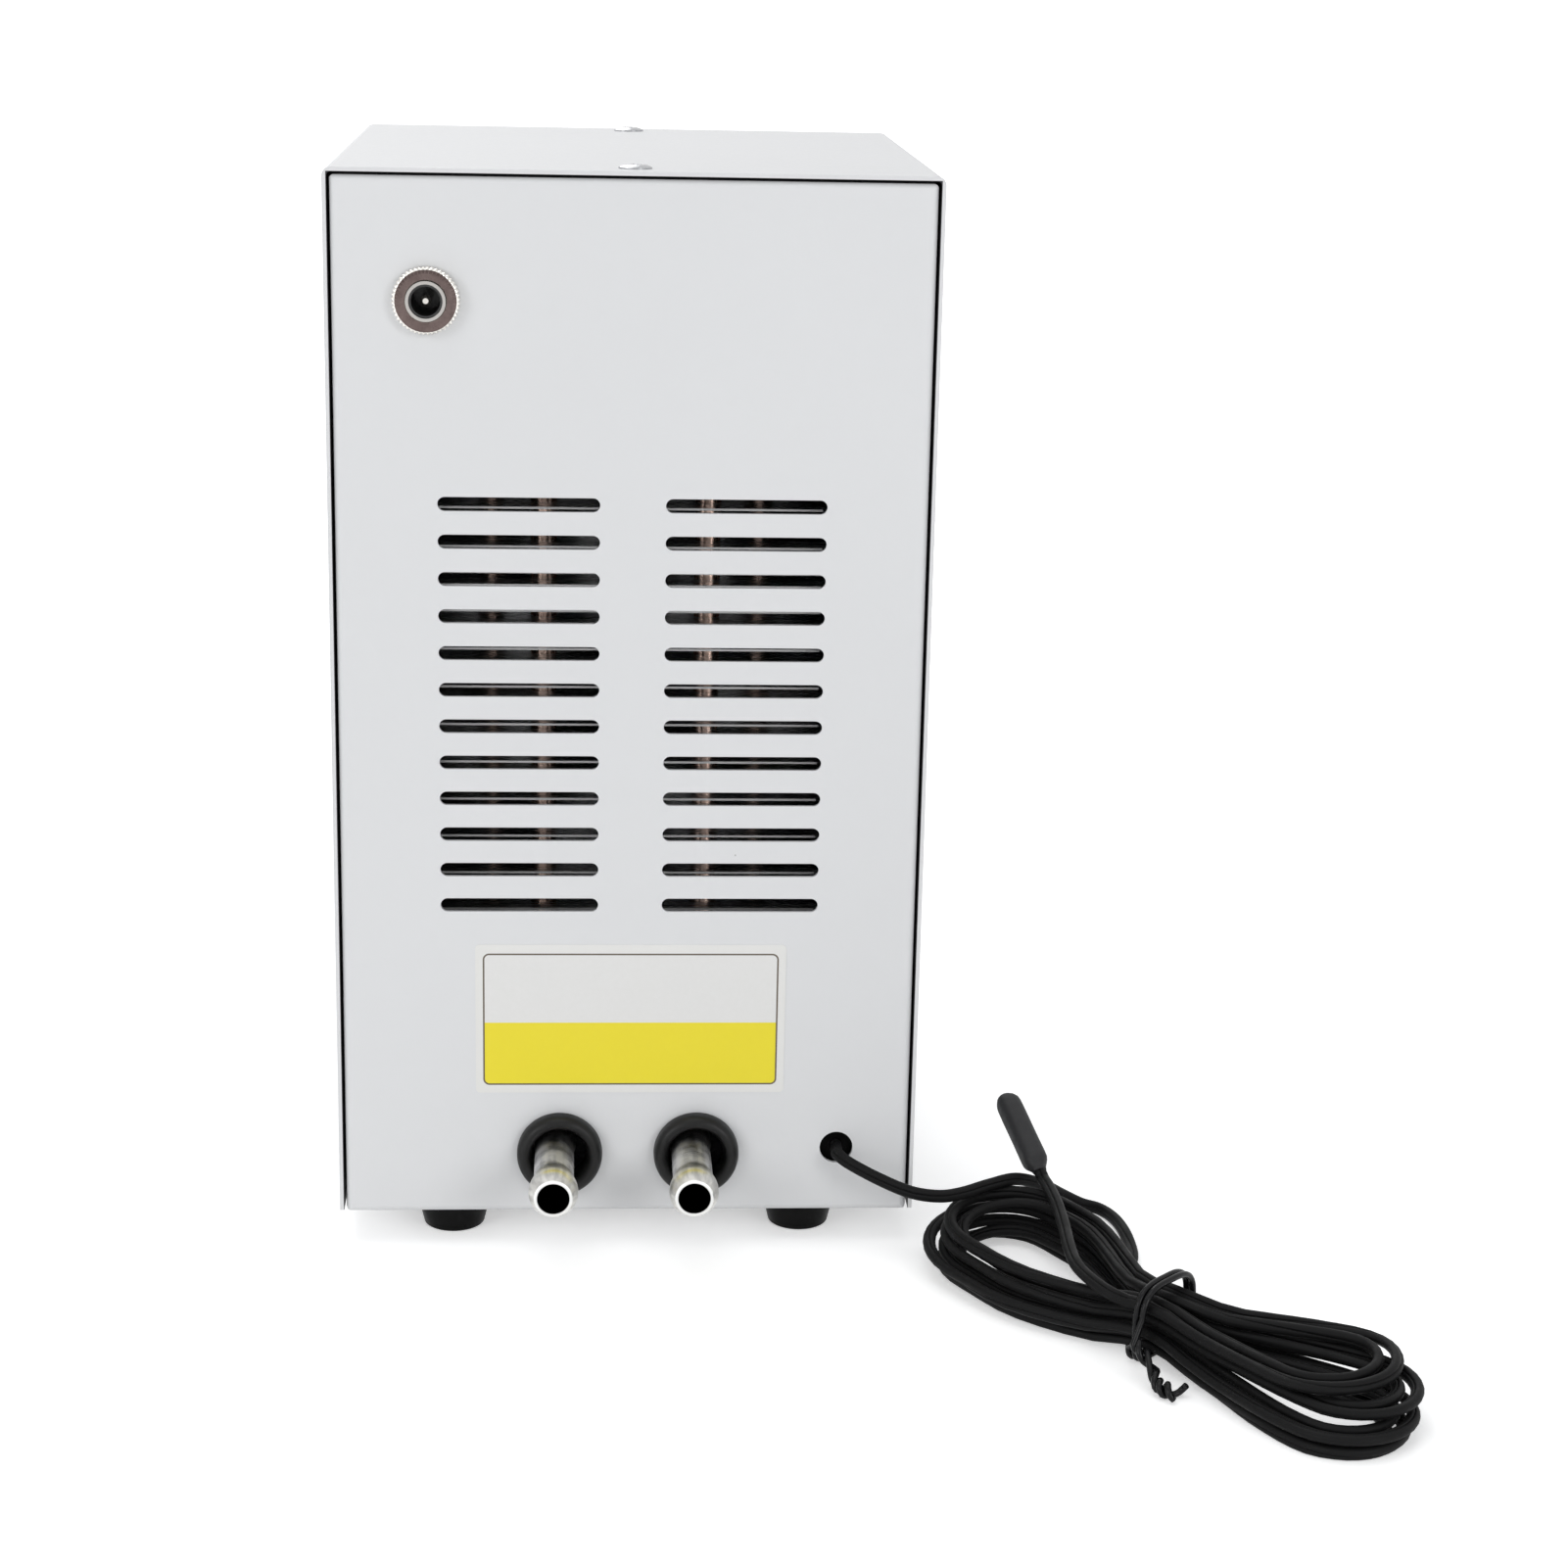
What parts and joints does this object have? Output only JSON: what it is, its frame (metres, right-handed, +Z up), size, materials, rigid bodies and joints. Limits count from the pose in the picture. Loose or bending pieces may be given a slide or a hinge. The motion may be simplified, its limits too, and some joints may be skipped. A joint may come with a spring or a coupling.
{
  "type": "aquarium chiller",
  "caption": "Small thermoelectric water chiller: upright white sheet-steel housing with vent slots, rear hose spigots, low-voltage socket and a sensor on a wound lead.",
  "frame": {"origin": "middle of the object's outline, without the lead, on the surface it stands on", "axes": "+Z up, front with the control panel towards -Y, rear with the water tubes towards +Y"},
  "size_m": [0.2355, 0.255, 0.2516],
  "materials": {
    "shell_white": "satin powder coat on sheet steel",
    "plated_steel": "bright zinc plate",
    "foot_rubber": "matt moulded rubber",
    "jack_nickel": "polished nickel plate",
    "jack_black": "moulded",
    "grommet_rubber": "soft moulded rubber",
    "spigot_aluminium": "turned",
    "label_film": "two-tone printed film, blank",
    "block_aluminium": "milled",
    "foam": "closed-cell foam",
    "ceramic": "alumina plates",
    "fin_aluminium": "rolled sheet",
    "copper": "drawn copper",
    "fan_plastic": "glass-filled plastic",
    "bearing_bronze": "sintered bronze",
    "magnet": "bonded ferrite",
    "winding": "enamelled copper on laminations",
    "panel_plastic": "fine moulded grain",
    "clip_orange": "moulded",
    "display_red": "tinted window",
    "display_body": "moulded",
    "circuit_board": "solder mask",
    "switch_black": "moulded",
    "terminal_green": "moulded",
    "button_grey": "moulded",
    "lead_black": "extruded vinyl",
    "probe_black": "moulded vinyl",
    "tie_black": "vinyl-coated wire",
    "wire_red": "extruded vinyl",
    "wire_yellow": "extruded vinyl",
    "wire_brown": "extruded vinyl"
  },
  "bodies": {
    "housing": {"chassis": "shell_white", "cover": "shell_white", "cover_screws": "plated_steel", "rubber_feet": "foot_rubber", "foot_screws": "plated_steel", "foot_nuts": "plated_steel", "power_jack_shell": "jack_nickel", "power_jack_insulator": "jack_black", "power_jack_pin": "jack_nickel", "power_jack_nut": "jack_nickel", "grommets": "grommet_rubber", "water_inlet_tube": "spigot_aluminium", "water_outlet_tube": "spigot_aluminium", "rear_label": "label_film", "cold_block": "block_aluminium", "block_insulation": "foam", "thermoelectric_module": "ceramic", "module_gasket": "foam", "heatsink_base": "block_aluminium", "pipe_saddle": "block_aluminium", "heat_pipes": "copper", "fin_stack": "fin_aluminium", "hold_down_bars": "plated_steel", "hold_down_screws": "plated_steel", "hold_down_posts": "plated_steel", "fan_frame": "fan_plastic", "fan_bearing": "bearing_bronze", "fan_stator": "winding", "fan_clips": "plated_steel", "controller_case": "panel_plastic", "controller_back": "panel_plastic", "controller_clips": "clip_orange", "display_lens": "display_red", "display_module": "display_body", "controller_board": "circuit_board", "tact_switches": "switch_black", "terminal_block": "terminal_green", "lead_retainer": "lead_black", "sensor_lead_inner": "lead_black", "power_leads": "wire_red", "fan_leads": "wire_yellow", "module_leads": "wire_brown", "sensor_lead": "lead_black", "sensor_lead_hank": "lead_black", "sensor_lead_tail": "lead_black", "sensor_probe": "probe_black", "twist_tie": "tie_black"},
    "fan_rotor": {"fan_rotor": "fan_plastic", "fan_shaft": "plated_steel", "rotor_magnet": "magnet", "fan_retaining_ring": "plated_steel"},
    "set_button": {"set_button": "button_grey"},
    "up_button": {"up_button": "button_grey"},
    "down_button": {"down_button": "button_grey"}
  },
  "joints": [
    {"name": "fan_spin", "type": "hinge", "parent": "housing", "child": "fan_rotor", "pos_m": [0.0012, 0.0145, 0.12755], "axis": [0, 1, 0], "continuous": true},
    {"name": "set_press", "type": "slide", "parent": "housing", "child": "set_button", "axis": [0, 1, 0], "range_m": [0, 0.0005], "stiffness_N_per_m": 800},
    {"name": "up_press", "type": "slide", "parent": "housing", "child": "up_button", "axis": [0, 1, 0], "range_m": [0, 0.0005], "stiffness_N_per_m": 800},
    {"name": "down_press", "type": "slide", "parent": "housing", "child": "down_button", "axis": [0, 1, 0], "range_m": [0, 0.0005], "stiffness_N_per_m": 800}
  ]
}
